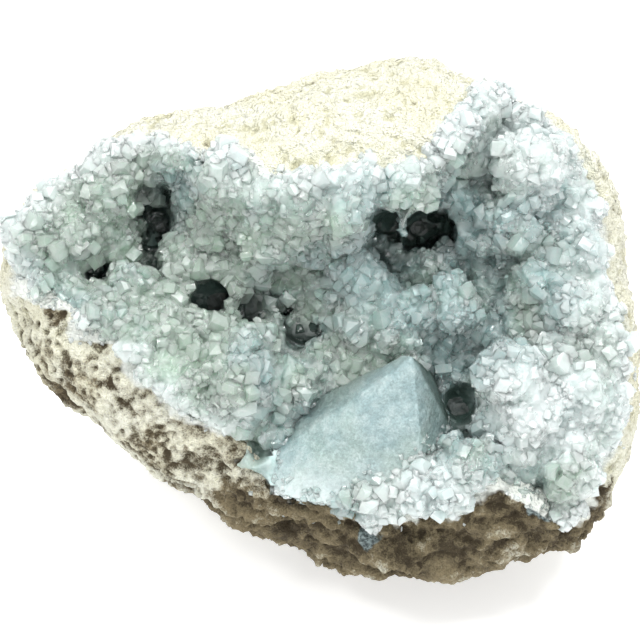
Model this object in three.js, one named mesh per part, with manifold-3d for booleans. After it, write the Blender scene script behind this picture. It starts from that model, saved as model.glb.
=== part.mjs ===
// A celestite geode: a rounded lump of cream, pitted rock, broken open on one side, whose hollow
// is lined with a crust of pale blue celestite crystals. Millimetres, +Z up, the broken face
// looking up and to the front (-Y). The origin is the middle of the base, on the surface it rests on.
//
// Both pieces are laid out in the frame of the broken face: u across it, v up it, w out of it.
// Spokes run out from the middle of the face, over the rim, and round the outside to the back.

import * as THREE from "three";
import { ConvexGeometry } from "three/addons/geometries/ConvexGeometry.js";
import { mergeVertices } from "three/addons/utils/BufferGeometryUtils.js";
import Module from "manifold-3d";

const wasm = await Module();
wasm.setup();

// ---------------------------------------------------------------- driving dimensions

const FACE_TILT = 42; // degrees that the broken face leans back from lying level
const BELLY_DEPTH = 72; // from the plane of the face to the furthest point of the back
const BELLY_LEAN = [-2, -6]; // where that point lies, across and up the face
const BELLY_FULLNESS = 2.3; // 2 is an ellipse from the widest outline to the back, more is fuller
const BASE_CUT = 70; // how far below the middle of the face the resting spot is worn flat

const BED_DEPTH = 15; // of the top of the crystal bed below the plane of the face, in the middle
const ROCK_DEPTH = 34; // of the hollow in the rock, also where the deepest pockets are
const CRUST_AT_RIM = 2.2; // thickness of the crust where it meets bare rock
const SEAT_GAP = 0.35; // between the rock and the crust that lies in it

const CRYSTAL_SPACING = 8.8; // between neighbouring main crystals
const CRYSTAL_LENGTH = 11; // of an average main crystal, root to tip
const CRYSTAL_WIDTH = 10.5;
const CRYSTAL_SUNK = 6.2; // depth of its root below the top of the bed

const SPOKES = 60;
const ROCK_SHARES = [0.3, 0.6, 0.8, 0.92, 1]; // rings of the hollow, middle of the face to rim
const BED_SHARES = [0.2, 0.36, 0.5, 0.62, 0.74, 0.86, 1];
const POCKET_KEPT_CLEAR = 6; // no main crystal stands where a pocket is deeper than this
const LIP_RINGS = 4; // from the rim to the widest outline
const BELLY_RINGS = 10; // from the widest outline to the back

// ---------------------------------------------------------------- outlines of the face

// The widest outline of the lump, as [u, v, w].
const OUTLINE = [
  [71.5, 0, -20], [71, 14, -19], [68.5, 26.5, -18], [63.5, 38.5, -18], [51, 45.5, -17],
  [39, 50, -16], [30.5, 53.5, -16], [20.5, 56.5, -17], [9, 56.5, -18], [-9, 52.5, -19],
  [-29, 48, -20], [-48, 41, -20], [-58, 33.5, -19], [-69, 25.5, -18], [-74, 12.5, -19],
  [-72, 0, -20], [-65.5, -12, -21], [-52.5, -24, -22], [-34, -38, -22], [-16.5, -47, -22],
  [0, -53.5, -21], [10, -57.5, -20], [21, -58.5, -20], [33.5, -57, -20], [48, -54.5, -20],
  [60.5, -49.5, -20], [67, -38, -20], [72, -26, -20], [72, -12, -20],
];

// The rim, where the crystals end and bare rock begins, as [u, v, w].
const RIM = [
  [65, -2, -7], [63, 9, -7], [62, 20, -8], [60, 30, -9], [56, 38.5, -11],
  [47, 45, -11], [38.5, 49.5, -10], [34, 49.5, -4], [30.5, 41, 4], [23.5, 34.5, 8],
  [12, 33, 9], [-3, 31.5, 9], [-14, 30.5, 8], [-23, 33.5, 5], [-31, 39, -2],
  [-46, 38.5, -9], [-56, 31.5, -9], [-65.5, 24, -9], [-68.5, 14.5, -8], [-61, 7, -4],
  [-53, 2.5, -1], [-45, -4, 2], [-39.5, -10, 4], [-34, -17, 4], [-29, -21.5, 3],
  [-21, -24, 3], [-15, -30.5, 2], [-11.5, -38, 0], [-2, -41, 0], [8, -41.5, -1],
  [14, -43, -2], [19.5, -39.5, 0], [25, -42, -1], [30, -36.5, 2], [36, -32.5, 3],
  [42, -31.5, 2], [47.5, -38, -2], [53.5, -44.5, -7], [60, -36.5, -8], [65.5, -25, -7],
  [67, -14, -7],
];

// Pockets in the crystal bed, [u, v, depth, half width, half height, turn in degrees].
const POCKETS = [
  [20.5, 21.5, 17, 10, 6.5, 10], // the deep cave under the ledge
  [31, 34, 13, 4.5, 11, -12], // the cleft that runs up from it beside the ledge
  [35, 10, 5, 11, 9, 0],
  [-18.5, 6.5, 15, 11, 6, -10],
  [-3.5, -2.5, 14, 7, 5.5, -30],
  [-38, 22.5, 16, 7, 8, -20],
  [-34.5, 12, 11, 5, 7, 5],
  [31.5, -18, 13, 5.5, 6, 0],
  [38, -14, 6, 5, 2, 45],
  [-50, 32.5, 8, 6, 4, 0],
  [-49, 12, 10, 5, 5, 0],
  [-9, -25, 6, 4, 3.5, 20],
  [52, 24, 6, 6, 3.5, -25],
  [58, -2, 5, 3, 5, 15],
];

// Swells of the crystal bed, in the same terms.
const SWELLS = [
  [-3, 25, 9, 22, 7, 0], // the crystals that hang under the ledge
  [-24, 18, 8, 9, 8, 0],
  [-28, -7, 8, 17, 8, -25],
  [49, -20, 12, 14, 13, 0],
  [17, 1, 9, 15, 7, 10],
  [47, 33, 9, 13, 10, -30],
  [-48, 21, 6, 7, 7, 0],
  [53, 7, 7, 9, 10, 0],
  [3, -13, 6, 12, 6, 30],
];
const CLUMP_HEIGHT = 2.2; // of the rounded clumps that the crystals stand on
const CLUMP_SPAN = 9;

// Pits and broken hollows of the outer rock, [u, v, w, depth, radius].
const PITS = [
  [-57, -1, -8, 3.5, 6], [-50, -16, -14, 3, 6], [-33, -27, -10, 3, 6],
  [-21, -36, -10, 5, 7], [-9, -44, -7, 3.5, 6], [0, -49, -16, 4, 7],
  [24, -47, -8, 5, 7], [40, -42, -8, 4.5, 7], [47, -50, -20, 4, 8],
  [12, 42, 2, 2.5, 7], [-14, 40, -4, 2.5, 7], [66, 18, -12, 2.5, 6],
  [30, -20, -66, 4, 14], [-34, 6, -58, 4, 13], [8, 36, -52, 5, 14],
  [-40, 30, -44, 4, 12], [52, 18, -46, 4, 13], [-46, -18, -44, 4, 12],
  [30, -52, -38, 6, 17],
];

// The great crystal in the lower middle of the hollow: a blade with a slanting roof, as [u, v, w].
const GREAT_CRYSTAL = [
  [19.7, -8.1, 10], [22, -29.6, 3.5], [14, -37, 1.5], [3, -41, 1], [-9, -38.5, 2], // broad front
  [17.8, -7.8, 5], [-13, -31.5, -3], // narrow slope along its upper left side
  [24.5, -12.5, -3], [29.5, -25.5, -6], [24.5, -31, -5], // steep side on its right
  [-13, -36, -15], [4, -42, -14], [26, -34, -16], [25, -12, -20], [-10, -22, -20], // its root
];

// Large single crystals of the crust, [u, v, length, width, lean across, lean up].
const LARGE_CRYSTALS = [
  [17.5, 29.5, 14, 11, 0.1, -0.3], [4, 26, 14, 11, 0, -0.4], [-8.4, 3.5, 13, 8, -0.2, 0],
  [-29, 14, 15, 12, 0.1, -0.2], [-21.5, 13, 14, 11, 0.3, -0.4], [-5, -8, 13, 10, 0.5, 0.3],
  [35, 29, 15, 12, -0.3, -0.2], [46, 34, 16, 14, 0.2, 0.1], [45, 20, 14, 11, -0.2, -0.1],
  [10, 6, 15, 12, -0.1, -0.2], [44, -14, 16, 13, -0.2, 0.3], [57, -16, 14, 12, 0.3, 0.2],
  [54, -32, 15, 12, 0.3, -0.3], [27, -37, 12, 10, -0.3, 0.1], [-20, -12, 14, 11, -0.1, 0.1],
  [-48, 27, 14, 12, -0.2, 0.1], [27, 3, 14, 11, 0.3, 0], [-32, 2, 13, 11, 0, 0.3],
];

// ---------------------------------------------------------------- small helpers

const { sin, cos, exp, hypot, floor, max, PI, atan2 } = Math;
const degrees = PI / 180;
const mix = (a, b, t) => a + (b - a) * t;
const smooth = (t) => t * t * (3 - 2 * t);

// A repeatable number from 0 to 1 for a whole-numbered place.
function chance(i, j, k) {
  const s = sin(i * 127.1 + j * 311.7 + k * 74.7) * 43758.5453;
  return s - floor(s);
}

// Value noise from -1 to 1, one lump to each unit of length.
function lumps(x, y, z) {
  const [i, j, k] = [floor(x), floor(y), floor(z)];
  const [a, b, c] = [smooth(x - i), smooth(y - j), smooth(z - k)];
  const row = (jj, kk) => mix(chance(i, jj, kk), chance(i + 1, jj, kk), a);
  const layer = (kk) => mix(row(j, kk), row(j + 1, kk), b);
  return 2 * mix(layer(k), layer(k + 1), c) - 1;
}

// A round-shouldered dome, 1 in its middle, over the ellipse of a pocket or a swell.
function dome(u, v, [cu, cv, , halfWidth, halfHeight, turn]) {
  const [s, c] = [sin(turn * degrees), cos(turn * degrees)];
  const across = ((u - cu) * c + (v - cv) * s) / halfWidth;
  const along = ((v - cv) * c - (u - cu) * s) / halfHeight;
  return exp(-((across * across + along * along) ** 1.5));
}

// Where a closed outline crosses each spoke: a function from a spoke's angle to the point there.
function outlineCrossing(points) {
  const fine = new THREE.CatmullRomCurve3(
    points.map((p) => new THREE.Vector3(...p)), true, "centripetal",
  ).getPoints(points.length * 12);
  const turnOf = (p) => (atan2(p.y, p.x) + 2 * PI) % (2 * PI);
  return (angle) => {
    const wanted = (angle + 2 * PI) % (2 * PI);
    let best = null;
    for (let i = 0; i < fine.length - 1; i++) {
      const [from, to] = [turnOf(fine[i]), turnOf(fine[i + 1])];
      const span = to - from < -PI ? to - from + 2 * PI : to - from;
      const into = wanted - from < -PI ? wanted - from + 2 * PI : wanted - from;
      if (span <= 0 || into < 0 || into > span) continue;
      const p = fine[i].clone().lerp(fine[i + 1], into / span);
      if (!best || hypot(p.x, p.y) < hypot(best.x, best.y)) best = p;
    }
    return best;
  };
}

function solidOf(geometry) {
  const bare = new THREE.BufferGeometry()
    .setAttribute("position", geometry.getAttribute("position"))
    .setIndex(geometry.index);
  const merged = mergeVertices(bare, 1e-4);
  return new wasm.Manifold(
    new wasm.Mesh({
      numProp: 3,
      vertProperties: new Float32Array(merged.attributes.position.array),
      triVerts: new Uint32Array(merged.index.array),
    }),
  );
}

function geometryOf(solid) {
  const made = solid.getMesh();
  const places = new Float32Array(made.numVert * 3);
  for (let i = 0; i < made.numVert; i++) {
    places.set(made.vertProperties.subarray(i * made.numProp, i * made.numProp + 3), i * 3);
  }
  return new THREE.BufferGeometry()
    .setAttribute("position", new THREE.BufferAttribute(places, 3))
    .setIndex(new THREE.BufferAttribute(made.triVerts, 1));
}

// A closed skin from rings of points round the w axis, with one point at each end.
function skin(first, rings, last) {
  const places = [first, ...rings.flat(), last];
  const at = (ring, spoke) => 1 + ring * SPOKES + (spoke % SPOKES);
  const end = places.length - 1;
  const faces = [];
  for (let s = 0; s < SPOKES; s++) {
    faces.push([0, at(0, s), at(0, s + 1)]);
    for (let r = 0; r < rings.length - 1; r++) {
      faces.push([at(r, s), at(r + 1, s), at(r + 1, s + 1)]);
      faces.push([at(r, s), at(r + 1, s + 1), at(r, s + 1)]);
    }
    faces.push([end, at(rings.length - 1, s + 1), at(rings.length - 1, s)]);
  }
  return new THREE.BufferGeometry()
    .setFromPoints(places)
    .setIndex(faces.flat());
}

// ---------------------------------------------------------------- the face and the rock

const outlineAt = outlineCrossing(OUTLINE);
const rimAt = outlineCrossing(RIM);
const spokeAngles = Array.from({ length: SPOKES }, (_, s) => (s / SPOKES) * 2 * PI);
const rims = spokeAngles.map(rimAt);
const outlines = spokeAngles.map(outlineAt);

// The top of the crystal bed at a share of the way from the middle of the face to the rim.
function bedTop(share, rim) {
  const [u, v] = [rim.x * share, rim.y * share];
  const dish = mix(-BED_DEPTH, rim.z, share ** 2.2);
  const clumps = CLUMP_HEIGHT * lumps(u / CLUMP_SPAN + 3, v / CLUMP_SPAN + 8, 0.5);
  const swells = SWELLS.reduce((sum, p) => sum + p[2] * dome(u, v, p), 0);
  const height = dish + (1 - share ** 6) * (swells + clumps - pocketDepth(u, v));
  return new THREE.Vector3(u, v, max(height, hollow(share, rim).z + CRUST_AT_RIM));
}

function pocketDepth(u, v) {
  return POCKETS.reduce((sum, p) => sum + p[2] * dome(u, v, p), 0);
}

// The hollow in the rock, a plain deep bowl under the bed and all its pockets.
function hollow(share, rim) {
  const depth = mix(-ROCK_DEPTH, rim.z - CRUST_AT_RIM, share ** 4.5);
  return new THREE.Vector3(rim.x * share, rim.y * share, depth);
}

function lipPoint(part, rim, outline) {
  const turn = (part * PI) / 2;
  return new THREE.Vector3(
    mix(rim.x, outline.x, sin(turn)),
    mix(rim.y, outline.y, sin(turn)),
    mix(rim.z - CRUST_AT_RIM, outline.z, 1 - cos(turn)),
  );
}

function bellyPoint(part, outline) {
  const turn = (part * PI) / 2;
  const spread = cos(turn) ** (2 / BELLY_FULLNESS);
  return new THREE.Vector3(
    mix(BELLY_LEAN[0], outline.x, spread),
    mix(BELLY_LEAN[1], outline.y, spread),
    mix(outline.z, -BELLY_DEPTH, sin(turn) ** (2 / BELLY_FULLNESS)),
  );
}

// The lumps, ledges and pits that stand out of, or are sunk in, the outer rock.
function relief(p) {
  const broad = 2.8 * lumps(p.x / 24 + 7, p.y / 20 + 3, p.z / 22 + 5);
  const fine = 1.7 * lumps(p.x / 10 + 2, p.y / 9 + 11, p.z / 10);
  const ledges = 1.3 * lumps(p.x / 17, p.y / 6 + 30, p.z / 6);
  const pits = PITS.reduce((sum, [u, v, w, depth, radius]) => {
    const away = hypot(p.x - u, p.y - v, p.z - w) / radius;
    return sum + depth * exp(-away * away);
  }, 0);
  return broad + fine + ledges - pits;
}

// The rock, or the same swollen by a small gap where the crust is to be kept clear of it.
function rockSkin(gap) {
  const rings = ROCK_SHARES.map((share) => rims.map((rim) => hollow(share, rim)));
  for (let r = 1; r <= LIP_RINGS; r++) {
    rings.push(rims.map((rim, s) => lipPoint(r / LIP_RINGS, rim, outlines[s])));
  }
  for (let r = 1; r < BELLY_RINGS; r++) {
    rings.push(outlines.map((outline) => bellyPoint(r / BELLY_RINGS, outline)));
  }
  const geometry = skin(hollow(0, rims[0]), rings, bellyPoint(1, outlines[0]));
  const places = geometry.getAttribute("position");
  geometry.computeVertexNormals();
  const normals = geometry.getAttribute("normal").clone();
  const [p, n] = [new THREE.Vector3(), new THREE.Vector3()];
  const firstOutside = 1 + ROCK_SHARES.length * SPOKES;
  for (let i = 0; i < places.count; i++) {
    p.fromBufferAttribute(places, i);
    n.fromBufferAttribute(normals, i);
    const inside = i < firstOutside;
    p.addScaledVector(n, (inside ? 0 : relief(p)) + gap);
    if (inside) p.z += gap;
    places.setXYZ(i, p.x, p.y, p.z);
  }
  return solidOf(geometry);
}

// ---------------------------------------------------------------- the crystals

// The corners of one crystal, root at the origin and growing along +Z: a blunt four-sided prism
// under a roof that ends in a ridge or in a small flat top.
function crystal(length, width, seed) {
  const pick = (k) => chance(seed, k, 5);
  const [a, b] = [width / 2, (width / 2) * mix(0.7, 0.95, pick(1))];
  const shoulder = (k) => length * mix(0.62, 0.85, pick(k));
  const ridge = a * mix(0.3, 0.75, pick(2));
  const flat = pick(3) < 0.5 ? 0 : b * mix(0.25, 0.6, pick(8));
  const corner = (x, y, z) => new THREE.Vector3(x, y, z);
  return [
    corner(a, 0, 0), corner(-a, 0, 0), corner(0, b, 0), corner(0, -b, 0),
    corner(a, 0.1 * b, shoulder(4)), corner(-a, -0.1 * b, shoulder(5)),
    corner(0.1 * a, b, shoulder(6)), corner(-0.1 * a, -b, shoulder(7)),
    corner(ridge, flat, length), corner(-ridge, flat, length * 0.97),
    ...(flat ? [corner(ridge * 0.6, -flat, length), corner(-ridge, -flat, length * 0.97)] : []),
  ];
}

// The hull of a crystal's corners, set with its root at a place and growing along a direction.
function standing(corners, place, direction, spin) {
  const turn = new THREE.Quaternion()
    .setFromUnitVectors(new THREE.Vector3(0, 0, 1), direction)
    .multiply(new THREE.Quaternion().setFromAxisAngle(new THREE.Vector3(0, 0, 1), spin));
  return solidOf(new ConvexGeometry(corners.map((c) => c.applyQuaternion(turn).add(place))));
}

function shareAt(u, v) {
  const rim = rimAt(atan2(v, u));
  return hypot(u, v) / hypot(rim.x, rim.y);
}

// The top of the bed over a place in the face, or null where that place is past the rim.
function bedAt(u, v) {
  const share = shareAt(u, v);
  return share > 0.97 ? null : bedTop(share, rimAt(atan2(v, u)));
}

function bedNormal(u, v) {
  const step = 1.5;
  const height = (du, dv) => (bedAt(u + du, v + dv) ?? bedAt(u, v)).z;
  return new THREE.Vector3(
    (height(-step, 0) - height(step, 0)) / (2 * step),
    (height(0, -step) - height(0, step)) / (2 * step),
    1,
  ).clampLength(1, 1.6).normalize();
}

// Places for the main crystals: the corners of a fine grid over the face, in a shuffled order, each
// kept if it lies far enough, measured along the bed, from those already kept.
function crystalPlaces() {
  const [steps, reach] = [5, 16]; // grid lines to one spacing, and spacings from the middle
  const grid = [];
  for (let row = -reach * steps; row <= reach * steps; row++) {
    for (let column = -reach * steps; column <= reach * steps; column++) {
      grid.push([(column / steps) * CRYSTAL_SPACING, (row / steps) * CRYSTAL_SPACING]);
    }
  }
  const shuffled = grid
    .map(([u, v], i) => ({ u, v, turn: chance(i, 1, 7) }))
    .sort((a, b) => a.turn - b.turn);
  const kept = [];
  for (const { u, v } of shuffled) {
    const place = bedAt(u, v);
    const taken = pocketDepth(u, v) > POCKET_KEPT_CLEAR
      || LARGE_CRYSTALS.some(([cu, cv, , w]) => hypot(u - cu, v - cv) < 0.5 * w);
    if (!place || taken || kept.some((other) => other.distanceTo(place) < CRYSTAL_SPACING)) continue;
    kept.push(place);
  }
  return kept;
}

// The main crystals stand on the bed a little askew. Near the rim they are smaller and lean in.
function mainCrystals() {
  return crystalPlaces().map((place, i) => {
    const byTheRim = shareAt(place.x, place.y) ** 8;
    const size = mix(0.8, 1.2, chance(i, 2, 3)) * mix(1, 0.75, byTheRim);
    const askew = (k) => (chance(i, 3, k) - 0.5) * 0.8;
    const inward = (-0.8 * byTheRim) / hypot(place.x, place.y);
    const direction = bedNormal(place.x, place.y)
      .add(new THREE.Vector3(askew(4) + inward * place.x, askew(5) + inward * place.y, 0))
      .normalize();
    place.addScaledVector(direction, -CRYSTAL_SUNK);
    const corners = crystal(size * CRYSTAL_LENGTH, size * CRYSTAL_WIDTH, i);
    return standing(corners, place, direction, chance(i, 4, 6) * PI);
  });
}

function largeCrystals() {
  return LARGE_CRYSTALS.map(([u, v, length, width, across, up], i) => {
    const direction = bedNormal(u, v).add(new THREE.Vector3(across, up, 0.4)).normalize();
    const place = bedAt(u, v).addScaledVector(direction, -CRYSTAL_SUNK);
    return standing(crystal(length, width, 900 + i), place, direction, chance(i, 8, 9) * PI);
  });
}

// The bed that the crystals grow from, reaching down into the rock that is then cut from it.
function bed() {
  const under = (share, rim) => hollow(share, rim).add(new THREE.Vector3(0, 0, -2));
  const rings = [
    ...BED_SHARES.map((share) => rims.map((rim) => bedTop(share, rim))),
    ...ROCK_SHARES.toReversed().map((share) => rims.map((rim) => under(share, rim))),
  ];
  return solidOf(skin(bedTop(0, rims[0]), rings, under(0, rims[0])));
}

// ---------------------------------------------------------------- putting it together

// The largest piece of a solid, without the crumbs that a cut leaves.
function mainPiece(solid) {
  return solid.decompose().reduce((a, b) => (a.volume() > b.volume() ? a : b));
}

const toFaceFrame = new THREE.Quaternion()
  .setFromAxisAngle(new THREE.Vector3(1, 0, 0), -FACE_TILT * degrees);

// Everything below the worn base, as a slab in the frame of the face.
function ground() {
  const [side, height] = [300, 60];
  return solidOf(
    new THREE.BoxGeometry(side, side, height)
      .translate(0, 0, -BASE_CUT - height / 2)
      .applyQuaternion(toFaceFrame),
  );
}

const rock = mainPiece(rockSkin(0).subtract(ground()));
const crystals = wasm.Manifold.union([
  bed(),
  ...mainCrystals(),
  ...largeCrystals(),
  solidOf(new ConvexGeometry(GREAT_CRYSTAL.map((p) => new THREE.Vector3(...p)))),
]);
const crust = mainPiece(crystals.subtract(rockSkin(SEAT_GAP)));

const ROCK_COLOUR = new THREE.MeshStandardMaterial({ color: 0xe2dcc4, roughness: 0.95, metalness: 0 });
const CRYSTAL_COLOUR = new THREE.MeshStandardMaterial({ color: 0xbcd2d4, roughness: 0.25, metalness: 0 });

function piece(name, solid, material) {
  const mesh = new THREE.Mesh(geometryOf(solid), material);
  mesh.name = name;
  return mesh;
}

const geode = new THREE.Group();
geode.add(piece("matrix_rock", rock, ROCK_COLOUR));
geode.add(piece("crystal_crust", crust, CRYSTAL_COLOUR));
geode.rotation.x = FACE_TILT * degrees;

// The origin goes to the middle of the base.
const box = new THREE.Box3().setFromObject(geode, true);
const middle = box.getCenter(new THREE.Vector3());
geode.position.set(-middle.x, -middle.y, -box.min.z);

export default geode;
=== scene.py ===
"""The looks of a celestite geode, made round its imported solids.

A rounded lump of cream, pitted rock lies broken open on one side. Its hollow is lined with
pale blue crystals: a milky bed, main crystals on it that are melted into one another, sharp
small ones on these, and one great crystal.
Sizes are millimetres in the frame of the broken face: u across it, v up it, w out of it.
"""

import math

import bmesh
import bpy
import numpy as np
from bpy.props import FloatProperty, FloatVectorProperty, IntProperty, PointerProperty
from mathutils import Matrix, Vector, noise
from mathutils.bvhtree import BVHTree
from mathutils.kdtree import KDTree


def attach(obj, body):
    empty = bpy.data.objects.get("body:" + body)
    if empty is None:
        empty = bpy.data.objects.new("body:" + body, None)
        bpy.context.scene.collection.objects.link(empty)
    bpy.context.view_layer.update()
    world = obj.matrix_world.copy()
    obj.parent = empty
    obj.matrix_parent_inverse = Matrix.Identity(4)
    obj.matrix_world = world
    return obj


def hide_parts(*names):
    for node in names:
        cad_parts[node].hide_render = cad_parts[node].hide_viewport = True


bl_info = {
    "name": "Celestite geode",
    "version": (1, 0, 0),
    "blender": (4, 5, 0),
    "location": "3D View > Sidebar > Geode",
    "description": "A broken-open geode lined with pale blue celestite crystals",
    "category": "Add Mesh",
}

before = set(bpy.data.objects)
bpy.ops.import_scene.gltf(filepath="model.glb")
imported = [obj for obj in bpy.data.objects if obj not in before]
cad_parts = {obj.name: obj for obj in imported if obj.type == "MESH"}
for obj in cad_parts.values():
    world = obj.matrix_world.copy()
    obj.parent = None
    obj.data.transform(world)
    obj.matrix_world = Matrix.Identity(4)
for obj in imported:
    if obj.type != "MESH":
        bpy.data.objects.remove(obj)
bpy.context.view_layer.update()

MM = 0.001
# Without a seed of its own, noise_vector starts from the clock and differs each run.
NOISE_SEED = 1795515470
FACE_TILT = math.radians(42)
FACE_MIDDLE = np.array((0.05, -16.14, 70.0))
TILT_COS, TILT_SIN = math.cos(FACE_TILT), math.sin(FACE_TILT)
FACE_AXES = np.array(((1, 0, 0), (0, TILT_COS, TILT_SIN), (0, -TILT_SIN, TILT_COS)))

# The camera looks square on to the face, and the stage is measured in metres.
CAMERA_ELEVATION = math.radians(48)
CAMERA_DISTANCE = 0.65
CAMERA_SENSOR = 36
CAMERA_LENS = 165.3
CAMERA_SHIFT = -2 / 640
FLOOR_SIDE = 8
FLOOR_LEVEL = -0.0002
KEY_SIDE = 1.3
KEY_PLACE = (0.05, 0.35, 1.5)
GLINT_SIDE = 0.18
GLINT_PLACES = ((-0.5, -0.2, 0.9), (0.45, -0.05, 1.0), (0.1, -0.75, 0.75))

CELESTITE_IOR = 1.62
GREYS = ((0.3, 0.32, 0.32), (0.75, 0.76, 0.76))

# The corners of the great crystal, in the frame of the face.
GREAT_FRONT = [(19.7, -8.1, 10), (22, -29.6, 3.5), (14, -37, 1.5), (3, -41, 1), (-9, -38.5, 2)]
GREAT_SLOPE = [(17.8, -7.8, 5), (-13, -31.5, -3)]
GREAT_SIDE = [(24.5, -12.5, -3), (29.5, -25.5, -6), (24.5, -31, -5)]
GREAT_ROOT = [(-13, -36, -12), (4, -42, -10), (26, -34, -12), (25, -12, -14), (-10, -22, -14)]
GREAT_FOOT = [(29.5, -26, -6), (23, -31, 2), *GREAT_FRONT[2:], GREAT_SLOPE[1]]


# ---places


def in_face(points):
    """Room points, in metres, as millimetres in the frame of the face."""
    return (np.asarray(points, float) / MM - FACE_MIDDLE) @ FACE_AXES.T


def in_room(points):
    """Millimetres in the frame of the face as room points, in metres."""
    return (np.asarray(points, float) @ FACE_AXES + FACE_MIDDLE) * MM


def turned_to_room(directions):
    return np.asarray(directions, float) @ FACE_AXES


def vectors_of(items, name):
    values = np.empty(len(items) * 3, np.float32)
    items.foreach_get(name, values)
    return values.reshape(-1, 3).astype(float)


def places_of(mesh):
    return vectors_of(mesh.vertices, "co")


def normals_of(mesh):
    return vectors_of(mesh.vertex_normals, "vector")


def tree_of(mesh, places):
    """The faces of a mesh, with its vertices at these places, to be searched."""
    faces = [tuple(p.vertices) for p in mesh.polygons]
    return BVHTree.FromPolygons([Vector(p) for p in places], faces)


def set_places(mesh, co):
    mesh.vertices.foreach_set("co", co.astype(np.float32).ravel())
    mesh.update()


def keep_number(mesh, name, values):
    """Keeps one number for each vertex, for a material to read."""
    attribute = mesh.attributes.get(name) or mesh.attributes.new(name, "FLOAT", "POINT")
    attribute.data.foreach_set("value", np.asarray(values, np.float32))


def triangles_of(obj):
    return sum(len(p.vertices) - 2 for p in obj.data.polygons)


def smooth_step(low, high, x):
    t = np.clip((x - low) / (high - low), 0, 1)
    return t * t * (3 - 2 * t)


def unit(v):
    return v / np.maximum(np.linalg.norm(v, axis=-1, keepdims=True), 1e-12)


def noise_at(points, span):
    """Noise of about -1 to 1 at each point, with lumps of about this span."""
    return np.array([noise.noise(Vector(p) / span) for p in points])


def toned(colour, *factors):
    return tuple(c * k for c, k in zip(colour, factors))


# ---objects


def only(obj):
    """Leaves one object selected and active."""
    bpy.ops.object.select_all(action="DESELECT")
    obj.select_set(True)
    bpy.context.view_layer.objects.active = obj


def copy_of_node(node, name):
    """A copy of a solid with its loose triangles merged."""
    obj = bpy.data.objects.new(name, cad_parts[node].data.copy())
    bpy.context.scene.collection.objects.link(obj)
    obj.data.materials.clear()
    only(obj)
    bpy.ops.object.mode_set(mode="EDIT")
    bpy.ops.mesh.select_all(action="SELECT")
    bpy.ops.mesh.remove_doubles(threshold=1e-6)
    bpy.ops.object.mode_set(mode="OBJECT")
    return obj


def modify(obj, kind, **settings):
    """Adds a modifier, sets it and applies it."""
    only(obj)
    modifier = obj.modifiers.new(kind.title(), kind)
    for name, value in settings.items():
        setattr(modifier, name, value)
    bpy.ops.object.modifier_apply(modifier=modifier.name)


def finished(obj, material):
    """Gives a piece its material and lets it ride on the stone."""
    obj.data.materials.clear()
    obj.data.materials.append(material)
    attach(obj, "root")
    return obj


# ---the survey of the face

SURVEY_STEP = 0.6
SURVEY_LOW = np.array((-84.0, -70.0))
SURVEY_SIZE = (280, 234)
SURVEY_TOP = 60.0
SURVEY_NOTHING = -90.0
SIGHT_BEARINGS = 12
SIGHT_DISTANCES = (3, 5, 8, 12, 18, 26)
survey = {}


def make_survey(*objects):
    """Keeps how high the stone stands over each place of the face."""
    trees = [tree_of(o.data, places_of(o.data)) for o in objects]
    down = Vector(turned_to_room((0, 0, -1)))
    height = np.full(SURVEY_SIZE, SURVEY_NOTHING)
    for i in range(SURVEY_SIZE[0]):
        for j in range(SURVEY_SIZE[1]):
            u, v = SURVEY_LOW + SURVEY_STEP * np.array((i, j))
            start = Vector(in_room((u, v, SURVEY_TOP)))
            for tree in trees:
                hit = tree.ray_cast(start, down)[3]
                if hit is not None:
                    height[i, j] = max(height[i, j], SURVEY_TOP - hit / MM)
    survey["height"] = height


def height_at(u, v):
    i = np.clip(np.rint((u - SURVEY_LOW[0]) / SURVEY_STEP).astype(int), 0, SURVEY_SIZE[0] - 1)
    j = np.clip(np.rint((v - SURVEY_LOW[1]) / SURVEY_STEP).astype(int), 0, SURVEY_SIZE[1] - 1)
    return survey["height"][i, j]


def openness(face_points):
    """How much of the sky over the face each point sees, from 0 to 1; where it is low, the crystal material
    paints shade.
    """
    u, v, w = face_points.T
    seen = np.zeros(len(u))
    for k in range(SIGHT_BEARINGS):
        a = 2 * math.pi * (k + 0.5) / SIGHT_BEARINGS
        slope = np.zeros(len(u))
        for away in SIGHT_DISTANCES:
            rise = height_at(u + away * math.cos(a), v + away * math.sin(a)) - w
            slope = np.maximum(slope, rise / away)
        seen += 1 / (1 + slope * slope)
    return seen / SIGHT_BEARINGS


# ---scattering


def surface_points(mesh, count, rng):
    """Random points of a mesh's surface with their smooth normals, in the frame of the face."""
    mesh.calc_loop_triangles()
    corners = np.empty(len(mesh.loop_triangles) * 3, np.int32)
    mesh.loop_triangles.foreach_get("vertices", corners)
    corners = corners.reshape(-1, 3)
    co, no = places_of(mesh)[corners], normals_of(mesh)[corners]
    area = np.linalg.norm(np.cross(co[:, 1] - co[:, 0], co[:, 2] - co[:, 0]), axis=1)
    pick = rng.choice(len(corners), count, p=area / area.sum())
    r = np.sqrt(rng.random(count))
    s = rng.random(count)
    share = np.stack((1 - r, r * (1 - s), r * s), axis=1)[:, :, None]
    places = in_face((share * co[pick]).sum(axis=1))
    normals = unit((share * no[pick]).sum(axis=1)) @ FACE_AXES.T
    return places, normals


def thinned(places, spacing):
    """Which points to keep so that no two lie closer than the spacing; spacing may differ by point."""
    spacing = np.broadcast_to(spacing, len(places))
    cell = float(spacing.max())
    kept, cells = [], {}
    for i, p in enumerate(places):
        key = tuple(np.floor(p / cell).astype(int))
        near = (
            other
            for dx in (-1, 0, 1)
            for dy in (-1, 0, 1)
            for dz in (-1, 0, 1)
            for other in cells.get((key[0] + dx, key[1] + dy, key[2] + dz), ())
        )
        if all(((places[o] - p) ** 2).sum() >= spacing[i] ** 2 for o in near):
            kept.append(i)
            cells.setdefault(key, []).append(i)
    return np.array(kept, int)


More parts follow.
